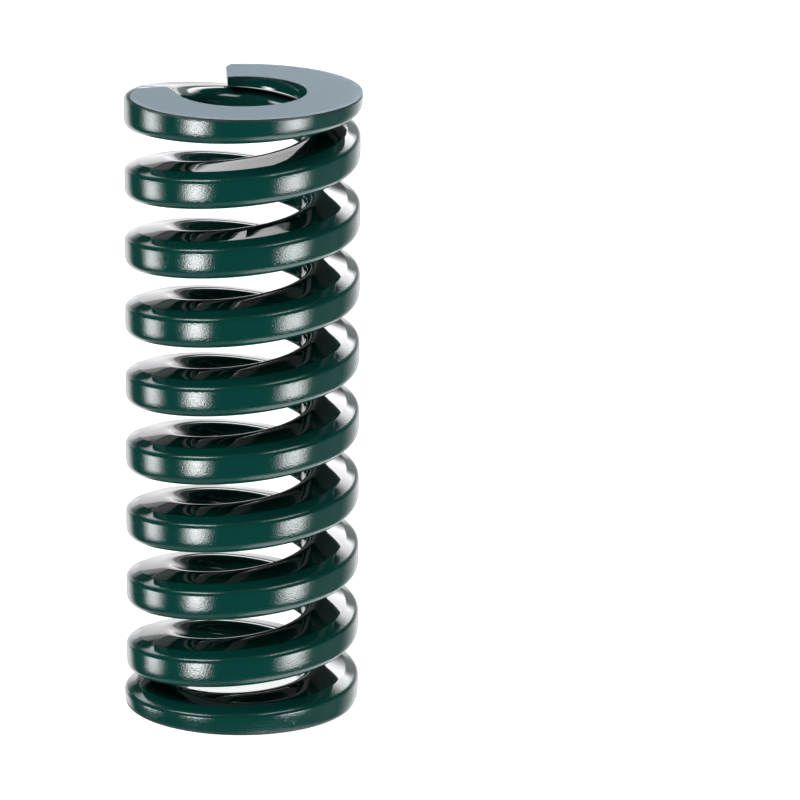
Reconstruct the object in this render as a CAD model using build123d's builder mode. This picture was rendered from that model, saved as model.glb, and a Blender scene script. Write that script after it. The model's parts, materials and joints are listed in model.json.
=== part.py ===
"""Die spring: one bar of keystoned wire, wound right-hand, closed and ground flat at both ends."""

import os
from math import atan2, cos, pi, radians, sin, tan

from build123d import *
from build123d.topology import SkipClean

os.makedirs("parts", exist_ok=True)

# Driving dimensions, in millimetres, degrees and turns
free_length = 80.0
outside_diameter = 29.6
inside_diameter = 15.8
outer_wire_height = 4.3  # along the spring's axis, between the outer corners before they are rounded
inner_wire_height = 5.6  # the same at the bore, where winding squeezes the wire thicker
outer_round = 1.1  # rounding of the wire's two outer edges
inner_round = 2.0  # rounding of the wire's two inner edges

turns = 9.946  # from tip to tip
bottom_tip_angle = 118.0  # where the wire starts, anticlockwise from +X as seen from above
bottom_closed_turns = 0.69  # nearly flat stretch at the base
top_closed_turns = 0.68  # nearly flat stretch at the top
blend_turns = 0.2  # over which the pitch changes between closed and open

bottom_tip_height = 1.55  # what grinding leaves of the wire's outer wall at the bottom tip
top_tip_height = 1.4  # and at the top tip
bottom_tip_gap = 0.1  # between the bottom tip and the turn above it
top_tip_gap = 0.1  # between the top tip and the turn below it
tip_lean = 8.4  # how far the sheared tips lean back from radial, as seen from above
wall_allowance = 0.06  # extra wire on the outer and inner side, taken off when the walls are sized

# Sizes that follow
outer_radius = outside_diameter / 2
inner_radius = inside_diameter / 2
wire_width = outer_radius - inner_radius
wire_radius = (outer_radius + inner_radius) / 2
top_lean = atan2(inner_wire_height - outer_wire_height, wire_width)
crest_shift = (wire_width - inner_round) * tan(top_lean) + inner_round * (1 - 1 / cos(top_lean))
thickest = outer_wire_height + crest_shift  # at the crest of the rounded upper inner edge
bottom_first_rise = thickest + bottom_tip_gap
top_last_rise = thickest + top_tip_gap
total_rise = free_length - top_tip_height + outer_wire_height - bottom_tip_height
open_pitch = (total_rise - bottom_first_rise - top_last_rise) / (turns - 2)
bottom_pitch = (bottom_first_rise - (1 - bottom_closed_turns) * open_pitch) / bottom_closed_turns
top_pitch = (top_last_rise - (1 - top_closed_turns) * open_pitch) / top_closed_turns


def turns_into(change, turn):
    """Turns wound at the new pitch by a given turn, when the pitch changes about the turn 'change'."""
    past = turn - change
    if abs(past) >= blend_turns / 2:
        return max(past, 0.0)
    return past / 2 + blend_turns / 4 - blend_turns / (2 * pi) * cos(pi * past / blend_turns)


def wire_middle(turn):
    """Height of the middle of the wire's outer wall, a number of turns from the bottom tip."""
    opened = turns_into(bottom_closed_turns, turn)
    closed = turns_into(turns - top_closed_turns, turn)
    start = bottom_tip_height - outer_wire_height / 2
    climb = bottom_pitch * turn + (open_pitch - bottom_pitch) * opened + (top_pitch - open_pitch) * closed
    return start + climb


def wire_point(turn, radius):
    angle = radians(bottom_tip_angle + 360 * turn)
    return Vector(radius * cos(angle), radius * sin(angle), wire_middle(turn))


def even_run(first, last, pitch, radius):
    """A stretch of one pitch, between two turns."""
    helix = Helix(pitch, pitch * (last - first), radius, center=(0, 0, wire_middle(first)))
    return Rot(Z=bottom_tip_angle + 360 * first) * helix


def blend_run(first, last, before, after, radius, steps=6):
    """The stretch where the pitch changes, tangent to the even runs on both sides."""
    between = [first + (last - first) * step / steps for step in range(1, steps)]
    points = [before @ 1, *(wire_point(turn, radius) for turn in between), after @ 0]
    return Spline(*points, tangents=(before % 1, after % 0))


def winding(radius):
    """The wound line at one radius, from tip to tip."""
    half_blend = blend_turns / 2
    opening = bottom_closed_turns
    closing = turns - top_closed_turns
    bottom = even_run(0, opening - half_blend, bottom_pitch, radius)
    middle = even_run(opening + half_blend, closing - half_blend, open_pitch, radius)
    top = even_run(closing + half_blend, turns, top_pitch, radius)
    lower_blend = blend_run(opening - half_blend, opening + half_blend, bottom, middle, radius)
    upper_blend = blend_run(closing - half_blend, closing + half_blend, middle, top, radius)
    runs = (bottom, lower_blend, middle, upper_blend, top)
    return Wire([run.edge() for run in runs])


# The envelope that grinding and sizing leave: bore, outside wall and both end faces
with BuildPart() as envelope:
    Cylinder(outer_radius, free_length, align=(Align.CENTER, Align.CENTER, Align.MIN))
    Cylinder(inner_radius, free_length, align=(Align.CENTER, Align.CENTER, Align.MIN), mode=Mode.SUBTRACT)

path = winding(wire_radius)
guide = winding(inner_radius)
section_x = Vector(1, 0, 0).rotate(Axis.Z, bottom_tip_angle - tip_lean)
section_plane = Plane(origin=path @ 0, x_dir=section_x, z_dir=section_x.cross(Vector(0, 0, 1)))
half_width = wire_width / 2 + wall_allowance
underside = -outer_wire_height / 2
section_corners = (
    (-half_width, underside),
    (half_width, underside),
    (half_width, -underside - wall_allowance * tan(top_lean)),
    (-half_width, underside + inner_wire_height + wall_allowance * tan(top_lean)),
)

with BuildPart() as wound:
    with BuildSketch(section_plane) as section:
        Polygon(*section_corners, align=None)
        fillet(section.vertices().group_by(Axis.X)[-1], outer_round)
        fillet(section.vertices().group_by(Axis.X)[0], inner_round)
    sweep(path=path, binormal=guide, clean=False)
    add(envelope.part, mode=Mode.INTERSECT, clean=False)


def lies_in(face, plane):
    return face.geom_type == GeomType.PLANE and plane.contains(face.center(), tolerance=1e-4)


# The skin is divided at two planes through the axis and closed again, so that no wall face is longer than a
# quarter turn
quarter_planes = (Plane.XZ, Plane.YZ)
with SkipClean(), BuildPart() as quarters:
    add(wound.part, clean=False)
    for plane in quarter_planes:
        split(bisect_by=plane, keep=Keep.BOTH)
skin = [face for face in quarters.faces() if not any(lies_in(face, plane) for plane in quarter_planes)]

with BuildPart() as coil:
    add(Solid(Shell(skin)), clean=False)

coil.part.label = "coil"
export_step(coil.part, "parts/coil.step")
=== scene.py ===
"""Looks of the die spring: its enamelled wire, closed and ground bare at both ends, and its small studio."""

import json
import math
from typing import NamedTuple

import bmesh
import bpy
from mathutils import Matrix, Vector


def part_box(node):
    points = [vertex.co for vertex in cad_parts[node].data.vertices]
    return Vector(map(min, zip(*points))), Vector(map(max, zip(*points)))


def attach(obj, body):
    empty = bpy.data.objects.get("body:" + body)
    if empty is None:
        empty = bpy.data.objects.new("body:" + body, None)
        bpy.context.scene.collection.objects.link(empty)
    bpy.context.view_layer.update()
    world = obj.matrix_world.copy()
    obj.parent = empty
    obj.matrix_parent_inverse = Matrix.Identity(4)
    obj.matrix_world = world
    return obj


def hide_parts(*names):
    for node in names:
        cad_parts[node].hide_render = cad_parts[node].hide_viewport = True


bl_info = {
    "name": "Die spring",
    "version": (1, 0, 0),
    "blender": (4, 5, 0),
    "location": "3D View > Sidebar > Die spring",
    "description": "Winds, grinds and enamels a die spring, and sets up its studio",
    "category": "Mesh",
}

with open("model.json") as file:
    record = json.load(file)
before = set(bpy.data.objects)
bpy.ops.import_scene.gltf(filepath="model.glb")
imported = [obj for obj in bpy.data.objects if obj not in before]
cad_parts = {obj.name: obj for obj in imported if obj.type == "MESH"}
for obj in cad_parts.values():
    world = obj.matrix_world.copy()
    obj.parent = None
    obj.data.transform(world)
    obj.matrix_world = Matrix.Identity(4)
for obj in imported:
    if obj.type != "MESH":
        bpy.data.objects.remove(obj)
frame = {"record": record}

MM = 0.001
FULL_TURN = 2 * math.pi
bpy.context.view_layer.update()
LOW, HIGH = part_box("coil")
MOUNTS = {mount["name"]: mount for mount in frame["record"]["mounts"]}
BORE_RADIUS = MOUNTS["guide_rod_bore"]["dims"]["r_mm"] * MM

# The bar is wound this many turns past each tip, so that shearing has something to cut.
SPARE_TURNS = 0.1
# Points nearer than WELD are one, and a cut's rim lies within RIM_SLACK of its plane.
WELD = 0.001 * MM
CUT_SLACK = 0.0001 * MM
RIM_SLACK = 0.002 * MM
# Edges bent by more than these angles, in radians, are broken by grinding and shaded as sharp.
STEEP = 0.5
SHARP = 0.6
# A face with more corners than this is a cap left by a cut.
CAP_CORNERS = 12

# Where the end coils take their own shape, in turns from the nearer tip.
TOP_STARTS, TOP_IS_FULL = 1.0, 0.7
BOTTOM_IS_FULL, BOTTOM_ENDS = 0.35, 0.95
FILL_STARTS, FILL_IS_FULL = 0.5, 0.2
RUNOUT_MIDDLE, RUNOUT_REACH = 0.9, 0.2
TWIST_STARTS = 0.3
# The share of the wire's width, from the bore, in which the top coil's underside is filled out.
INNER_PART = 0.4


class WireSizes(bpy.types.PropertyGroup):
    """Sizes of the wire and of the way it is wound."""

    outer_radius: bpy.props.FloatProperty(
        name="Outer radius",
        description="From the spring's axis to the wire's outer wall",
        default=(HIGH.x - LOW.x) / 2,
        unit="LENGTH",
    )
    inner_radius: bpy.props.FloatProperty(
        name="Inner radius",
        description="From the spring's axis to the wire's inner wall",
        default=BORE_RADIUS,
        unit="LENGTH",
    )
    free_length: bpy.props.FloatProperty(
        name="Free length",
        description="Between the two ground ends, with nothing pressing on them",
        default=HIGH.z - LOW.z,
        unit="LENGTH",
    )
    outer_wire_height: bpy.props.FloatProperty(
        name="Outer wire height",
        description="Thickness of the wire at its outer wall, between the corners before they are rounded",
        default=4.3 * MM,
        unit="LENGTH",
    )
    inner_wire_height: bpy.props.FloatProperty(
        name="Inner wire height",
        description="The same at the bore, where winding squeezes the wire thicker",
        default=5.6 * MM,
        unit="LENGTH",
    )
    outer_round: bpy.props.FloatProperty(
        name="Outer round",
        description="Rounding of the wire's lower outer edge",
        default=1.1 * MM,
        unit="LENGTH",
    )
    shoulder_width: bpy.props.FloatProperty(
        name="Shoulder width",
        description="How far in from the outer wall the wire's upper outer edge starts to fall",
        default=1.6 * MM,
        unit="LENGTH",
    )
    shoulder_drop: bpy.props.FloatProperty(
        name="Shoulder drop",
        description="How far the upper outer edge has fallen at the outer wall",
        default=0.45 * MM,
        unit="LENGTH",
    )
    shoulder_round: bpy.props.FloatProperty(
        name="Shoulder round",
        description="Rounding where the shoulder meets the flat top",
        default=0.8 * MM,
        unit="LENGTH",
    )
    shoulder_edge: bpy.props.FloatProperty(
        name="Shoulder edge",
        description="Rounding where the shoulder meets the outer wall",
        default=0.7 * MM,
        unit="LENGTH",
    )
    inner_round: bpy.props.FloatProperty(
        name="Inner round",
        description="Rounding of the wire's two inner edges",
        default=2.0 * MM,
        unit="LENGTH",
    )
    crown: bpy.props.FloatProperty(
        name="Crown",
        description="How far the lower half of the outer wall draws in towards its lower edge",
        default=0.16 * MM,
        unit="LENGTH",
    )
    turns: bpy.props.FloatProperty(
        name="Turns",
        description="Turns of wire from tip to tip",
        default=9.946,
    )
    bottom_tip_angle: bpy.props.FloatProperty(
        name="Bottom tip angle",
        description="Where the wire starts, anticlockwise from +X as seen from above",
        default=math.radians(118),
        subtype="ANGLE",
    )
    bottom_closed_turns: bpy.props.FloatProperty(
        name="Closed turns, bottom",
        description="Nearly flat stretch at the base",
        default=0.69,
    )
    top_closed_turns: bpy.props.FloatProperty(
        name="Closed turns, top",
        description="Nearly flat stretch at the top",
        default=0.68,
    )
    blend_turns: bpy.props.FloatProperty(
        name="Blend turns",
        description="Stretch over which the pitch changes",
        default=0.2,
    )
    bottom_tip_height: bpy.props.FloatProperty(
        name="Bottom tip height",
        description="What grinding leaves of the wire's outer wall at the bottom tip",
        default=1.55 * MM,
        unit="LENGTH",
    )
    top_tip_height: bpy.props.FloatProperty(
        name="Top tip height",
        description="What grinding leaves of the wire's outer wall at the top tip",
        default=1.4 * MM,
        unit="LENGTH",
    )
    bottom_tip_gap: bpy.props.FloatProperty(
        name="Bottom tip gap",
        description="Between the bottom tip and the turn above it",
        default=0.1 * MM,
        unit="LENGTH",
    )
    top_tip_gap: bpy.props.FloatProperty(
        name="Top tip gap",
        description="Between the top tip and the turn below it",
        default=0.1 * MM,
        unit="LENGTH",
    )
    tip_lean: bpy.props.FloatProperty(
        name="Tip lean",
        description="How far the sheared tips lean back from radial, as seen from above",
        default=math.radians(8.4),
        subtype="ANGLE",
    )
    tip_corner: bpy.props.FloatProperty(
        name="Tip corner",
        description="How far the tips' outer corner is eased, as seen from above",
        default=1.3 * MM,
        unit="LENGTH",
    )
    ground_edge: bpy.props.FloatProperty(
        name="Ground edge",
        description="Width of the broken edge round the ground faces",
        default=0.07 * MM,
        unit="LENGTH",
    )
    steps: bpy.props.IntProperty(
        name="Steps per turn",
        description="How finely each turn is divided",
        default=120,
    )


class EndCoils(bpy.types.PropertyGroup):
    """How the closed coils at the two ends differ from the open ones."""

    offset: bpy.props.FloatProperty(
        name="Offset",
        description="How far the top coil sits to the right of the axis, and the bottom coil to its left",
        default=0.1 * MM,
        unit="LENGTH",
    )
    top_swell: bpy.props.FloatProperty(
        name="Top swell",
        description="How much larger the top coil's radius is",
        default=0.15 * MM,
        unit="LENGTH",
    )
    bottom_swell: bpy.props.FloatProperty(
        name="Bottom swell",
        description="How much larger the bottom coil's radius is",
        default=0.06 * MM,
        unit="LENGTH",
    )
    bottom_lean: bpy.props.FloatProperty(
        name="Bottom lean",
        description="How far the bottom coil's outer wall leans out, as a share of the height along it",
        default=0.1,
    )
    top_thickening: bpy.props.FloatProperty(
        name="Top thickening",
        description="How much taller the upper half of the top coil is at its outer wall, as a share",
        default=0.15,
        subtype="FACTOR",
    )
    underside_fill: bpy.props.FloatProperty(
        name="Underside fill",
        description="How much of the rounding under the wire is filled out at the bore, near the top tip",
        default=0.9,
        subtype="FACTOR",
    )
    runout_rise: bpy.props.FloatProperty(
        name="Runout rise",
        description="How far the outer edge rises where the top coil runs into its ground face",
        default=0.5 * MM,
        unit="LENGTH",
    )
    runout_fall: bpy.props.FloatProperty(
        name="Runout fall",
        description="How far the wire falls towards the bore where the top coil runs into its ground face",
        default=0.36 * MM,
        unit="LENGTH",
    )
    tip_twist: bpy.props.FloatProperty(
        name="Tip twist",
        description="How far the top tip is turned on round the axis",
        default=math.radians(2),
        subtype="ANGLE",
    )


class EnamelLook(bpy.types.PropertyGroup):
    """Colours and surface of the enamel and of the bare ground steel, with the painted shade on the flanks and
    the painted shadow along the chipped edge.
    """

    enamel: bpy.props.FloatVectorProperty(
        name="Enamel",
        description="Colour of the enamel",
        default=(0.0022, 0.048, 0.038),
        subtype="COLOR",
    )
    steel: bpy.props.FloatVectorProperty(
        name="Ground steel",
        description="Colour of the bare ground end faces",
        default=(0.39, 0.545, 0.63),
        subtype="COLOR",
    )
    gloss_roughness: bpy.props.FloatProperty(
        name="Enamel roughness",
        description="Roughness of the enamel's gloss, above and below the wire",
        default=0.035,
        subtype="FACTOR",
    )
    wall_roughness: bpy.props.FloatProperty(
        name="Wall roughness",
        description="Roughness of the gloss on the wire's outer wall, where the enamel is thinner and speckled",
        default=0.09,
        subtype="FACTOR",
    )
    steel_roughness: bpy.props.FloatProperty(
        name="Steel roughness",
        description="Roughness of the ground steel",
        default=0.22,
        subtype="FACTOR",
    )
    # Painted shade: the enamel on the flanks, between the coils where the coil above shades the wire, is
    # darkened to this share of the walls' colour.
    flank_depth: bpy.props.FloatProperty(
        name="Flank depth",
        description="Brightness of the enamel's colour on the flanks, against the walls",
        default=0.42,
    )
    peel_size: bpy.props.FloatProperty(
        name="Orange peel",
        description="Size of the ripples in the enamel",
        default=0.17 * MM,
        unit="LENGTH",
    )
    paint_edge: bpy.props.FloatProperty(
        name="Paint edge",
        description="How far the enamel is chipped back from a ground face",
        default=0.13 * MM,
        unit="LENGTH",
    )
    chip_size: bpy.props.FloatProperty(
        name="Chip size",
        description="Size of the chips along the enamel's edge",
        default=0.5 * MM,
        unit="LENGTH",
    )
    chip_softness: bpy.props.FloatProperty(
        name="Chip softness",
        description="Half the width over which the enamel ends at a chip",
        default=0.02 * MM,
        unit="LENGTH",
    )
    # Painted shadow: a dark line along the enamel's chipped edge, standing for the shadow of the enamel's
    # thickness.
    chip_line_start: bpy.props.FloatProperty(
        name="Chip line start",
        description="Where the dark line along the chipped edge begins, from the bare steel",
        default=0.03 * MM,
        unit="LENGTH",
    )
    chip_line_end: bpy.props.FloatProperty(
        name="Chip line end",
        description="Where the dark line along the chipped edge ends, from the bare steel",
        default=0.19 * MM,
        unit="LENGTH",
    )
    # The colour of the painted shadow along the chipped edge.
    chip_colour: bpy.props.FloatVectorProperty(
        name="Chip colour",
        description="Colour of the broken enamel along its chipped edge",
        default=(0.002, 0.004, 0.004),
        subtype="COLOR",
    )
    peel_depth: bpy.props.FloatProperty(
        name="Orange peel depth",
        description="Depth of the ripples in the enamel",
        default=0.017 * MM,
        unit="LENGTH",
    )
    grain_size: bpy.props.FloatProperty(
        name="Steel grain",
        description="Size of the mottling in the ground steel",
        default=0.3 * MM,
        unit="LENGTH",
    )
    tone_size: bpy.props.FloatProperty(
        name="Enamel tone",
        description="Size of the clouds of lighter and darker enamel",
        default=6 * MM,
        unit="LENGTH",
    )
    # The border of the painted shade on the flanks.
    flank_border: bpy.props.FloatProperty(
        name="Flank border",
        description="Half the width over which the flanks' colour passes into the walls'",
        default=0.15 * MM,
        unit="LENGTH",
    )


class StudioSetup(bpy.types.PropertyGroup):
    """Where the camera stands and how far the floor reaches."""

    elevation: bpy.props.FloatProperty(
        name="Elevation",
        description="Height of the camera above the horizon, seen from the middle of the spring",
        default=math.radians(16.38),
        subtype="ANGLE",
    )
    distance: bpy.props.FloatProperty(
        name="Distance",
        description="From the middle of the spring to the camera",
        default=0.804,
        unit="LENGTH",
    )
    lens: bpy.props.FloatProperty(
        name="Lens",
        description="Focal length of the camera, in millimetres",
        default=285.5,
    )
    aside: bpy.props.FloatProperty(
        name="Aside",
        description="How far to the right of the spring the camera looks",
        default=19.96 * MM,
        unit="LENGTH",
    )
    below: bpy.props.FloatProperty(
        name="Below",
        description="How far below the middle of the spring the camera looks",
        default=0.205 * MM,
        unit="LENGTH",
    )
    roll: bpy.props.FloatProperty(
        name="Roll",
        description="Turn of the camera about its own line of sight",
        default=math.radians(0.42),
        subtype="ANGLE",
    )
    floor_size: bpy.props.FloatProperty(
        name="Floor size",
        description="Width of the floor",
        default=4.0,
        unit="LENGTH",
    )
    floor_gap: bpy.props.FloatProperty(
        name="Floor gap",
        description="How far below the spring the floor lies",
        default=0.02 * MM,
        unit="LENGTH",
    )
    floor_glow: bpy.props.FloatProperty(
        name="Floor glow",
        description="How brightly the floor shines by itself",
        default=0.88,
    )


def turns_into(wire, change, turn):
    """Turns wound at the new pitch by a given turn, when the pitch changes about the turn 'change'."""
    past = turn - change
    blend = wire.blend_turns
    if abs(past) >= blend / 2:
        return max(past, 0.0)
    return past / 2 + blend / 4 - blend / FULL_TURN * math.cos(math.pi * past / blend)


class Spacing:
    """Height of the wire's middle along the winding."""

    def __init__(self, wire):
        self.wire = wire
        width = wire.outer_radius - wire.inner_radius
        lean = math.atan2(wire.inner_wire_height - wire.outer_wire_height, width)
        crest = (width - wire.inner_round) * math.tan(lean) + wire.inner_round * (1 - 1 / math.cos(lean))
        first_rise = wire.outer_wire_height + crest + wire.bottom_tip_gap
        last_rise = wire.outer_wire_height + crest + wire.top_tip_gap
        rise = wire.free_length - wire.top_tip_height + wire.outer_wire_height - wire.bottom_tip_height
        bottom = wire.bottom_closed_turns
        top = wire.top_closed_turns
        self.open = (rise - first_rise - last_rise) / (wire.turns - 2)
        self.bottom = (first_rise - (1 - bottom) * self.open) / bottom
        self.top = (last_rise - (1 - top) * self.open) / top

    def height(self, turn):
        """Height of the wire's middle at a turn."""
        wire = self.wire
        opened = turns_into(wire, wire.bottom_closed_turns, turn)
        closed = turns_into(wire, wire.turns - wire.top_closed_turns, turn)
        start = wire.bottom_tip_height - wire.outer_wire_height / 2
        return start + self.bottom * turn + (self.open - self.bottom) * opened + (self.top - self.open) * closed


def bell(value, middle, half_width):
    """1 at the middle, falling smoothly to 0 at half_width either side."""
    away = abs(value - middle) / half_width
    return 0.5 + 0.5 * math.cos(math.pi * away) if away < 1 else 0.0


def ease(value, start, end):
    """0 before start and 1 after end, with a soft step between."""
    part = min(max((value - start) / (end - start), 0.0), 1.0)
    return part * part * (3 - 2 * part)


def round_corner(bm, corner, radius):
    """Rounds a corner of a flat face."""
    bmesh.ops.bevel(
        bm,
        geom=[corner],
        offset=radius / math.tan(corner.link_loops[0].calc_angle() / 2),
        offset_type="OFFSET",
        segments=7,
        profile=0.5,
        affect="VERTICES",
        material=-1,
    )


def round_edges(bm, edges, width, segments):
    """Rounds edges of the cut bar."""
    bmesh.ops.bevel(
        bm,
        geom=edges,
        offset=width,
        offset_type="OFFSET",
        segments=segments,
        profile=0.5,
        affect="EDGES",
        clamp_overlap=True,
        material=-1,
    )


def wire_section(bm, wire):
    """The wire's cross-section, as a closed loop of edges upright on the +X side of the axis."""
    half = wire.outer_wire_height / 2
    width = wire.outer_radius - wire.inner_radius
    rise = (wire.inner_wire_height - wire.outer_wire_height) / width
    shoulder_radius = wire.outer_radius - wire.shoulder_width
    low_in = bm.verts.new((wire.inner_radius, 0, -half))
    low_out = bm.verts.new((wire.outer_radius, 0, -half))
    edge = bm.verts.new((wire.outer_radius, 0, half - wire.shoulder_drop))
    shoulder = bm.verts.new((shoulder_radius, 0, half + rise * wire.shoulder_width))
    high_in = bm.verts.new((wire.inner_radius, 0, wire.inner_wire_height - half))
    bm.faces.new((low_in, low_out, edge, shoulder, high_in))
    round_corner(bm, low_in, wire.inner_round)
    round_corner(bm, high_in, wire.inner_round)
    round_corner(bm, low_out, wire.outer_round)
    round_corner(bm, edge, wire.shoulder_edge)
    round_corner(bm, shoulder, wire.shoulder_round)
    shortest_side = wire.outer_wire_height / 4
    sides = [side for side in bm.edges if side.calc_length() > shortest_side]
    bmesh.ops.subdivide_edges(bm, edges=sides, cuts=3)
    for vert in bm.verts:
        if vert.co.z < 0:
            outward = (vert.co.x - wire.inner_radius) / width
            vert.co.x -= wire.crown * (vert.co.z / half) ** 2 * outward**4
    bmesh.ops.delete(bm, geom=bm.faces[:], context="FACES_ONLY")


def wind(bm, wire, pitch, start, count):
    """Winds the section in bm at an even pitch: one turn is spun, copied up the axis and joined."""
    bmesh.ops.rotate(bm, verts=bm.verts, cent=(0, 0, 0), matrix=Matrix.Rotation(start, 3, "Z"))
    bmesh.ops.spin(
        bm,
        geom=bm.verts[:] + bm.edges[:],
        cent=(0, 0, 0),
        axis=(0, 0, 1),
        dvec=(0, 0, pitch / wire.steps),
        angle=FULL_TURN,
        steps=wire.steps,
    )
    bmesh.ops.spin(
        bm,
        geom=bm.verts[:] + bm.edges[:] + bm.faces[:],
        cent=(0, 0, 0),
        axis=(0, 0, 1),
        dvec=(0, 0, pitch),
        angle=0,
        steps=count - 1,
        use_duplicate=True,
    )
    bmesh.ops.remove_doubles(bm, verts=bm.verts, dist=WELD)


def turn_at(point, start, pitch):
    """Which turn of an evenly wound bar a point is on, counted from its start."""
    part = ((math.atan2(point.y, point.x) - start) / FULL_TURN) % 1
    return part + round(point.z / pitch - part)


def cut_off(bm, verts, place, beyond):
    """Cuts away what lies beyond an upright plane, among some of the vertices, and caps the cut."""
    near = {vert for vert in verts if vert.is_valid}
    edges = [edge for edge in bm.edges if near.issuperset(edge.verts)]
    faces = [face for face in bm.faces if near.issuperset(face.verts)]
    bmesh.ops.bisect_plane(
        bm,
        geom=[vert for vert in bm.verts if vert in near] + edges + faces,
        dist=CUT_SLACK,
        plane_co=place,
        plane_no=beyond,
        clear_outer=True,
    )

    def on_plane(edge):
        return max(abs((vert.co - place).dot(beyond)) for vert in edge.verts) < RIM_SLACK

    rim = [edge for edge in bm.edges if edge.is_boundary and on_plane(edge)]
    return bmesh.ops.contextual_create(bm, geom=rim)["faces"][0]


def shear_tip(bm, wire, verts, angle, forward):
    """Cuts the bar off at a tip, on an upright plane that leans back from radial, and eases its corner."""
    middle = (wire.inner_radius + wire.outer_radius) / 2
    place = Vector((middle * math.cos(angle), middle * math.sin(angle), 0))
    along = Vector((math.cos(angle - wire.tip_lean), math.sin(angle - wire.tip_lean), 0))
    ahead = Vector((-along.y, along.x, 0)) * forward
    cut_off(bm, verts, place, ahead)

    margin = 1 * MM
    low = min(vert.co.z for vert in verts if vert.is_valid) - margin
    high = max(vert.co.z for vert in verts if vert.is_valid) + margin
    reach = 4 * wire.tip_corner
    around = []
    for vert in bm.verts:
        near_tip = (vert.co - place).dot(ahead) > -reach and vert.co.dot(along) > 0
        if near_tip and low < vert.co.z < high:
            around.append(vert)
    inset = wire.tip_corner
    setback = 0.45 * wire.tip_corner
    corner = place + along * (wire.outer_radius - middle)
    bevelled = (along / inset + ahead / setback).normalized()
    cap = cut_off(bm, around, corner - along * inset, bevelled)
    upright_length = 0.8 * MM
    upright = [edge for edge in cap.edges if abs(edge.verts[0].co.z - edge.verts[1].co.z) > upright_length]
    round_edges(bm, upright, width=0.4 * wire.tip_corner, segments=4)


def lay_out(bm, wire, ends, pitch, start):
    """Takes the evenly wound bar to the spring's own spacing, and gives the end coils their own shape."""
    spacing = Spacing(wire)
    half = wire.outer_wire_height / 2
    width = wire.outer_radius - wire.inner_radius
    for vert in bm.verts:
        here = turn_at(vert.co, start, pitch)
        level = vert.co.z - pitch * here
        here -= SPARE_TURNS
        outward = (Vector(vert.co.xy).length - wire.inner_radius) / width

        top = ease(here, wire.turns - TOP_STARTS, wire.turns - TOP_IS_FULL)
        bottom = 1 - ease(here, BOTTOM_IS_FULL, BOTTOM_ENDS)
        swell = ends.top_swell * top + (ends.bottom_swell + ends.bottom_lean * level * outward) * bottom
        vert.co.xy *= 1 + swell / wire.outer_radius
        vert.co.x += ends.offset * (top - bottom)
        twist = ends.tip_twist * ease(here, wire.turns - TWIST_STARTS, wire.turns)
        vert.co.xy = Matrix.Rotation(twist, 2) @ Vector(vert.co.xy)

        if level > 0:
            level *= 1 + ends.top_thickening * top * outward
            runout = level / half * bell(here, wire.turns - RUNOUT_MIDDLE, RUNOUT_REACH)
            level += runout * (ends.runout_rise * outward**4 - ends.runout_fall * (1 - outward**2))
        elif level < 0 and outward < INNER_PART:
            filled = ends.underside_fill * ease(here, wire.turns - FILL_STARTS, wire.turns - FILL_IS_FULL)
            level = -half + (level + half) * (1 - filled)
        vert.co.z = spacing.height(here) + level


def bent_by(edge, angle):
    """Whether the two faces at an edge meet at more than an angle."""
    return edge.is_valid and len(edge.link_faces) == 2 and edge.calc_face_angle(0) > angle


def grind(bm, wire, height, up):
    """Grinds an end flat at a height and breaks the ground face's edge."""
    bmesh.ops.bisect_plane(
        bm,
        geom=bm.verts[:] + bm.edges[:] + bm.faces[:],
        dist=CUT_SLACK,
        plane_co=(0, 0, height),
        plane_no=(0, 0, up),
        clear_outer=True,
    )
    rim = [edge for edge in bm.edges if edge.is_boundary]
    bmesh.ops.contextual_create(bm, geom=rim)
    bm.normal_update()
    steep = [edge for edge in rim if bent_by(edge, STEEP)]
    round_edges(bm, steep, width=wire.ground_edge, segments=2)


class Socket:
    """An output of a node, so that shader maths reads as ordinary expressions."""

    def __init__(self, finish, output):
        self.finish = finish
        self.output = output

    def math(self, operation, *others):
        """The result of a Math node."""
        return self.finish.node("ShaderNodeMath", {"operation": operation}, self, *others)

    def __add__(self, other):
        return self.math("ADD", other)

    __radd__ = __add__

    def __mul__(self, other):
        return self.math("MULTIPLY", other)

    __rmul__ = __mul__

    def __sub__(self, other):
        return self.math("SUBTRACT", other)

    def __rsub__(self, other):
        return self.finish.node("ShaderNodeMath", {"operation": "SUBTRACT"}, other, self)

    def __pow__(self, other):
        return self.math("POWER", other)

    def __abs__(self):
        return self.math("ABSOLUTE")

    def __neg__(self):
        return self * -1

    def part(self, name):
        """Another output of the same node."""
        return Socket(self.finish, self.output.node.outputs[name])

    def smooth(self, start, end):
        """0 before start and 1 after end, with a soft step between."""
        settings = {"interpolation_type": "SMOOTHSTEP"}
        return self.finish.node("ShaderNodeMapRange", settings, self, start, end)

    def within(self, low, high, soft):
        """1 between low and high, with soft borders."""
        return self.smooth(low - soft, low + soft) * (1 - self.smooth(high - soft, high + soft))


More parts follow.
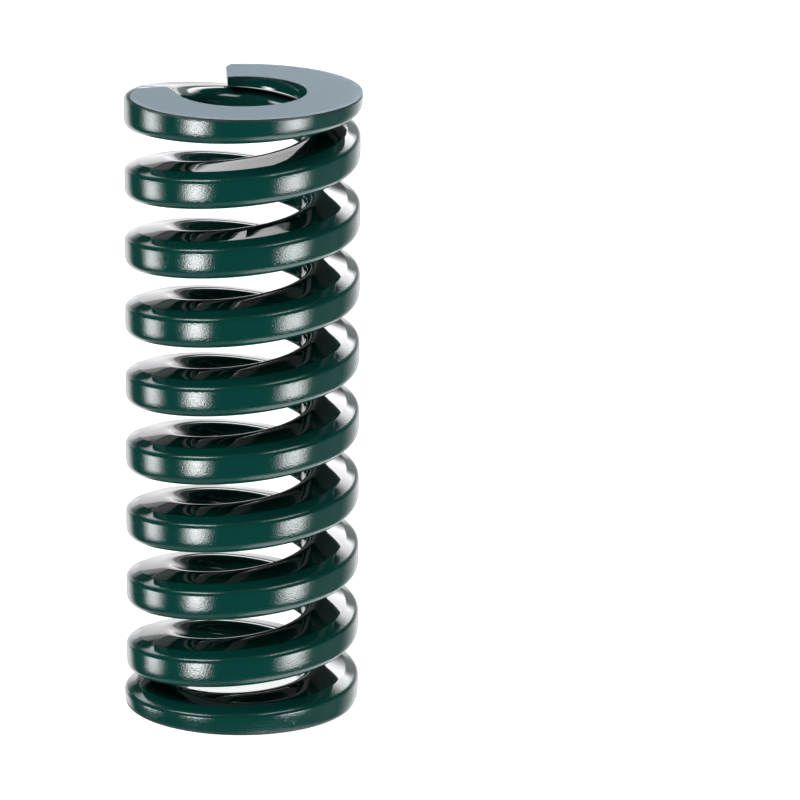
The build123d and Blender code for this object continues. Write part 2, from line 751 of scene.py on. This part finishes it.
class Finish:
    """Builds the nodes of a material or of the world."""

    def __init__(self, owner):
        owner.use_nodes = True
        self.tree = owner.node_tree
        self.tree.nodes.clear()

    def node(self, kind, settings=None, *values, **named):
        """Adds a node, with its settings first and then its sockets, by place or by name."""
        node = self.tree.nodes.new(kind)
        for key, value in (settings or {}).items():
            setattr(node, key, value)
        used = [socket for socket in node.inputs if socket.enabled]
        for socket, value in zip(used, values):
            self.feed(socket, value)
        for key, value in named.items():
            self.feed(node.inputs[key.replace("_", " ")], value)
        shown = [output for output in node.outputs if output.enabled]
        return Socket(self, shown[0]) if shown else node

    def feed(self, socket, value):
        """Links a socket, or sets its value."""
        if isinstance(value, Socket):
            self.tree.links.new(value.output, socket)
        else:
            socket.default_value = value

    def mix(self, factor, first, second):
        """Mixes two colours."""
        return self.node("ShaderNodeMix", {"data_type": "RGBA"}, factor, first, second)

    def noise(self, place, size, detail=2.0):
        """Noise with features of about the given size, from 0 to 1."""
        return self.node("ShaderNodeTexNoise", {}, Vector=place, Scale=1 / size, Detail=detail)


# How strongly the orange peel shows on the flanks, against 1 on the walls.
FLANK_RIPPLE = 0.05
# How strongly the painted shadow darkens the line along the enamel's chipped edge and the bare upright rim of
# the ground face, and how much rougher they are.
CHIP_SHADOW_STRENGTH = 0.8
RIM_SHADOW_STRENGTH = 0.9
CHIP_ROUGHNESS = 0.5


def shade(colour, strength=1.0):
    """A colour made lighter or darker, as a colour socket takes it."""
    return (*(strength * part for part in colour), 1)


def enamel_material(wire, look):
    """Glossy enamel with a fine orange peel and painted shade on its flanks, chipped back from the bare ground
    steel of the end faces, with a painted shadow along the chipped edge.
    """
    material = bpy.data.materials.new("green_enamel")
    finish = Finish(material)
    place = finish.node("ShaderNodeTexCoord").part("Object")
    xyz = finish.node("ShaderNodeSeparateXYZ", {}, place)
    across, along, height = xyz.part("X"), xyz.part("Y"), xyz.part("Z")
    radius = (across * across + along * along) ** 0.5
    wall = radius.smooth(wire.outer_radius - wire.outer_round, wire.outer_radius - 0.1 * wire.outer_round)
    flank_ends = wire.outer_radius - wire.shoulder_width
    # Painted shade: a mask of the flanks between the coils, which are darkened as if shaded by the coil above.
    shaded_flank = radius.within(wire.inner_radius + wire.inner_round, flank_ends, look.flank_border)

    ragged = finish.noise(place, look.chip_size, detail=4.0) * look.paint_edge * 2
    past_chips = height.math("MINIMUM", wire.free_length - height) - ragged
    bare = 1 - past_chips.smooth(0.0, look.chip_softness)
    normal = finish.node("ShaderNodeNewGeometry").part("Normal")
    upright = 1 - abs(finish.node("ShaderNodeSeparateXYZ", {}, normal).part("Z")).smooth(0.93, 0.98)
    # Painted shadow: the bare steel on the upright outer rim of the ground face and a line along the chipped
    # edge are darkened, as shade of the enamel's edge.
    rim = bare * upright * radius.smooth(0.6 * wire.outer_radius, 0.9 * wire.outer_radius)
    chip_shadow = past_chips.within(look.chip_line_start, look.chip_line_end, look.chip_softness)
    broken = (chip_shadow * CHIP_SHADOW_STRENGTH).math("MAXIMUM", rim * RIM_SHADOW_STRENGTH)

    grain = finish.noise(place, look.grain_size, detail=6.0)
    peel = finish.noise(place, look.peel_size, detail=1.0)
    tone = finish.noise(place, look.tone_size, detail=2.0)
    # The flanks' painted shade: the enamel there is mixed towards black.
    painted_flank_shade = 1 - (1 - look.flank_depth) * shaded_flank
    mottled = finish.mix(tone, shade(look.enamel, 0.92), shade(look.enamel, 1.08))
    shaded_enamel_colour = finish.mix(painted_flank_shade, (0, 0, 0, 1), mottled)
    steel_colour = finish.mix(grain, shade(look.steel, 0.93), shade(look.steel, 1.05))
    surface_colour = finish.mix(bare, shaded_enamel_colour, steel_colour)
    ripple = FLANK_RIPPLE + (1 - FLANK_RIPPLE) * wall
    bump = finish.node("ShaderNodeBump", {}, Strength=ripple, Distance=look.peel_depth, Height=peel)
    gloss = look.gloss_roughness + wall * (look.wall_roughness - look.gloss_roughness)
    # The base colour carries the painted shadow along the chipped edge.
    shader = finish.node(
        "ShaderNodeBsdfPrincipled",
        {},
        Base_Color=finish.mix(broken, surface_colour, shade(look.chip_colour)),
        Metallic=bare,
        Roughness=gloss + bare * (look.steel_roughness - gloss) + broken * CHIP_ROUGHNESS,
        IOR=1.5,
        Normal=bump,
    )
    finish.node("ShaderNodeOutputMaterial", {}, shader)
    return material


class SoftLight(NamedTuple):
    """A soft-edged light of the room: the directions it fills, its side edges' softness, and its strength."""

    left: float
    right: float
    low: float
    high: float
    soft: float
    strength: float


# Directions in degrees: to the right of the front, and above the horizon.
SOFT_LIGHTS = (
    # three tall lights: far left, left and right of the front
    SoftLight(left=-108.8, right=-90.4, low=-22, high=-9, soft=7, strength=10.5),
    SoftLight(left=-55.5, right=-38, low=-22, high=-9, soft=8, strength=24.0),
    SoftLight(left=40, right=63, low=-22, high=-9, soft=9, strength=16.5),
    # faint walls on the right
    SoftLight(left=70, right=112, low=-30, high=-5, soft=1, strength=0.3),
    SoftLight(left=115, right=140, low=-30, high=-5, soft=1, strength=0.25),
    # the floor's glow from below, on the left and on the right
    SoftLight(left=-140, right=10, low=-75, high=-36, soft=15, strength=0.5),
    SoftLight(left=10, right=150, low=-75, high=-36, soft=15, strength=3.0),
    # three lights overhead: left, right and right behind
    SoftLight(left=-92, right=-46, low=40, high=57, soft=7, strength=9.0),
    SoftLight(left=22, right=66, low=46, high=61, soft=8, strength=6.0),
    SoftLight(left=134, right=176, low=24, high=37, soft=3, strength=3.8),
)


def studio_world(world):
    """A white room behind, with tall soft lights to the left and right of the front, and a dim rest."""
    finish = Finish(world)
    direction = finish.node("ShaderNodeTexCoord").part("Generated")
    xyz = finish.node("ShaderNodeSeparateXYZ", {}, direction)
    across, away, up = xyz.part("X"), xyz.part("Y"), xyz.part("Z")
    degrees = 180 / math.pi
    azimuth = across.math("ARCTAN2", -away) * degrees
    elevation = up.math("ARCSINE") * degrees
    from_front = abs(azimuth)

    ambient = 0.03
    behind = 1 - azimuth.smooth(-150, -139) * (1 - azimuth.smooth(116, 154))
    back_wall = 1.5 * elevation.within(-55, 8, 1.5)
    wall_top = 0.6 * elevation.within(8, 13, 2)
    right_glow = 0.8 * azimuth.within(120, 170, 8) * elevation.within(13, 30, 3)
    high_band = 3.3 * from_front.smooth(110, 150) * elevation.within(26, 41, 2)
    ceiling = 0.2 * elevation.smooth(58, 70)
    low_shade = 0.6 * from_front.smooth(163, 172) * elevation.within(-26, -8, 4)
    light = ambient + behind * (back_wall + wall_top) + right_glow + high_band + ceiling
    light = light * (1 - low_shade)
    for each in SOFT_LIGHTS:
        beam = each.strength * azimuth.within(each.left, each.right, each.soft)
        light = light + beam * elevation.within(each.low, each.high, 3)
    room = finish.node("ShaderNodeBackground", {}, (1, 0.99, 1.01, 1), light)
    backdrop = finish.node("ShaderNodeBackground", {}, (1, 1, 1, 1), 1.0)
    seen = finish.node("ShaderNodeLightPath").part("Is Camera Ray")
    both = finish.node("ShaderNodeMixShader", {}, seen, room, backdrop)
    finish.node("ShaderNodeOutputWorld", {}, both)


def add_mesh(name, bm):
    """Makes an object of a finished bmesh."""
    mesh = bpy.data.meshes.new(name)
    bm.to_mesh(mesh)
    bm.free()
    piece = bpy.data.objects.new(name, mesh)
    bpy.context.scene.collection.objects.link(piece)
    return piece


class DIESPRING_OT_coil(bpy.types.Operator):
    """Winds the wire, closes and grinds its ends, and enamels it"""

    bl_idname = "die_spring.coil"
    bl_label = "Coil"

    def execute(self, context):
        wire = context.scene.die_spring_wire
        look = context.scene.die_spring_look
        pitch = 2 * wire.inner_wire_height
        start = wire.bottom_tip_angle - SPARE_TURNS * FULL_TURN
        bm = bmesh.new()
        wire_section(bm, wire)
        wind(bm, wire, pitch, start, math.ceil(wire.turns + 2 * SPARE_TURNS))

        turn = {vert: turn_at(vert.co, start, pitch) - SPARE_TURNS for vert in bm.verts}
        far_end = wire.turns + SPARE_TURNS
        unused = [vert for vert in bm.verts if turn[vert] > far_end]
        first = [vert for vert in bm.verts if turn[vert] < 2 * SPARE_TURNS]
        last = [vert for vert in bm.verts if wire.turns - 2 * SPARE_TURNS < turn[vert] <= far_end]
        bmesh.ops.delete(bm, geom=unused, context="VERTS")
        shear_tip(bm, wire, first, wire.bottom_tip_angle, -1)
        shear_tip(bm, wire, last, wire.bottom_tip_angle + wire.turns * FULL_TURN, 1)
        lay_out(bm, wire, context.scene.die_spring_ends, pitch, start)
        grind(bm, wire, 0.0, -1)
        grind(bm, wire, wire.free_length, 1)

        bmesh.ops.recalc_face_normals(bm, faces=bm.faces)
        for face in bm.faces:
            face.smooth = True
        for edge in bm.edges:
            beside_cap = any(len(face.verts) > CAP_CORNERS for face in edge.link_faces)
            if beside_cap or bent_by(edge, SHARP):
                edge.smooth = False
        piece = add_mesh("enamelled_coil", bm)
        piece.data.materials.append(enamel_material(wire, look))
        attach(piece, "root")
        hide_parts("coil")
        return {"FINISHED"}


class DIESPRING_OT_studio(bpy.types.Operator):
    """Sets the pale floor, the soft light and the camera"""

    bl_idname = "die_spring.studio"
    bl_label = "Studio"

    def execute(self, context):
        setup = context.scene.die_spring_studio
        bm = bmesh.new()
        bmesh.ops.create_grid(bm, x_segments=1, y_segments=1, size=setup.floor_size / 2)
        bmesh.ops.translate(bm, verts=bm.verts, vec=(0, 0, -setup.floor_gap))
        floor = add_mesh("floor", bm)
        pale = bpy.data.materials.new("pale_floor")
        finish = Finish(pale)
        shader = finish.node(
            "ShaderNodeBsdfPrincipled",
            {},
            (0.5, 0.5, 0.5, 1),
            Roughness=0.9,
            Emission_Color=(1, 1, 1, 1),
            Emission_Strength=setup.floor_glow,
        )
        finish.node("ShaderNodeOutputMaterial", {}, shader)
        floor.data.materials.append(pale)
        floor.visible_glossy = False
        floor.visible_diffuse = False
        floor.visible_shadow = False

        context.scene.world = bpy.data.worlds.new("studio")
        studio_world(context.scene.world)
        context.scene.view_settings.view_transform = "Standard"

        middle = (LOW + HIGH) / 2
        back = Vector((0, -math.cos(setup.elevation), math.sin(setup.elevation)))
        camera = bpy.data.cameras.new("camera")
        camera.lens = setup.lens
        eye = bpy.data.objects.new("camera", camera)
        eye.location = middle + back * setup.distance
        sight = middle + Vector((setup.aside, 0, -setup.below)) - eye.location
        eye.rotation_mode = "QUATERNION"
        roll = Matrix.Rotation(setup.roll, 3, "Z").to_quaternion()
        eye.rotation_quaternion = sight.to_track_quat("-Z", "Y") @ roll
        context.scene.collection.objects.link(eye)
        context.scene.camera = eye
        return {"FINISHED"}


class DIESPRING_PT_sidebar(bpy.types.Panel):
    """Sizes, colours and steps of the die spring"""

    bl_label = "Die spring"
    bl_idname = "DIESPRING_PT_sidebar"
    bl_space_type = "VIEW_3D"
    bl_region_type = "UI"
    bl_category = "Die spring"

    def draw(self, context):
        scene = context.scene
        groups = (scene.die_spring_wire, scene.die_spring_ends, scene.die_spring_look, scene.die_spring_studio)
        for group in groups:
            box = self.layout.box()
            for name in group.__annotations__:
                box.prop(group, name)
        for operator in OPERATORS:
            self.layout.operator(operator.bl_idname)


OPERATORS = (DIESPRING_OT_coil, DIESPRING_OT_studio)
CLASSES = (WireSizes, EndCoils, EnamelLook, StudioSetup, *OPERATORS, DIESPRING_PT_sidebar)


def register():
    for cls in CLASSES:
        bpy.utils.register_class(cls)
    bpy.types.Scene.die_spring_wire = bpy.props.PointerProperty(type=WireSizes)
    bpy.types.Scene.die_spring_ends = bpy.props.PointerProperty(type=EndCoils)
    bpy.types.Scene.die_spring_look = bpy.props.PointerProperty(type=EnamelLook)
    bpy.types.Scene.die_spring_studio = bpy.props.PointerProperty(type=StudioSetup)


def unregister():
    del bpy.types.Scene.die_spring_studio
    del bpy.types.Scene.die_spring_look
    del bpy.types.Scene.die_spring_ends
    del bpy.types.Scene.die_spring_wire
    for cls in reversed(CLASSES):
        bpy.utils.unregister_class(cls)


def main():
    register()
    bpy.ops.die_spring.coil()
    bpy.ops.die_spring.studio()


if __name__ == "__main__":
    main()
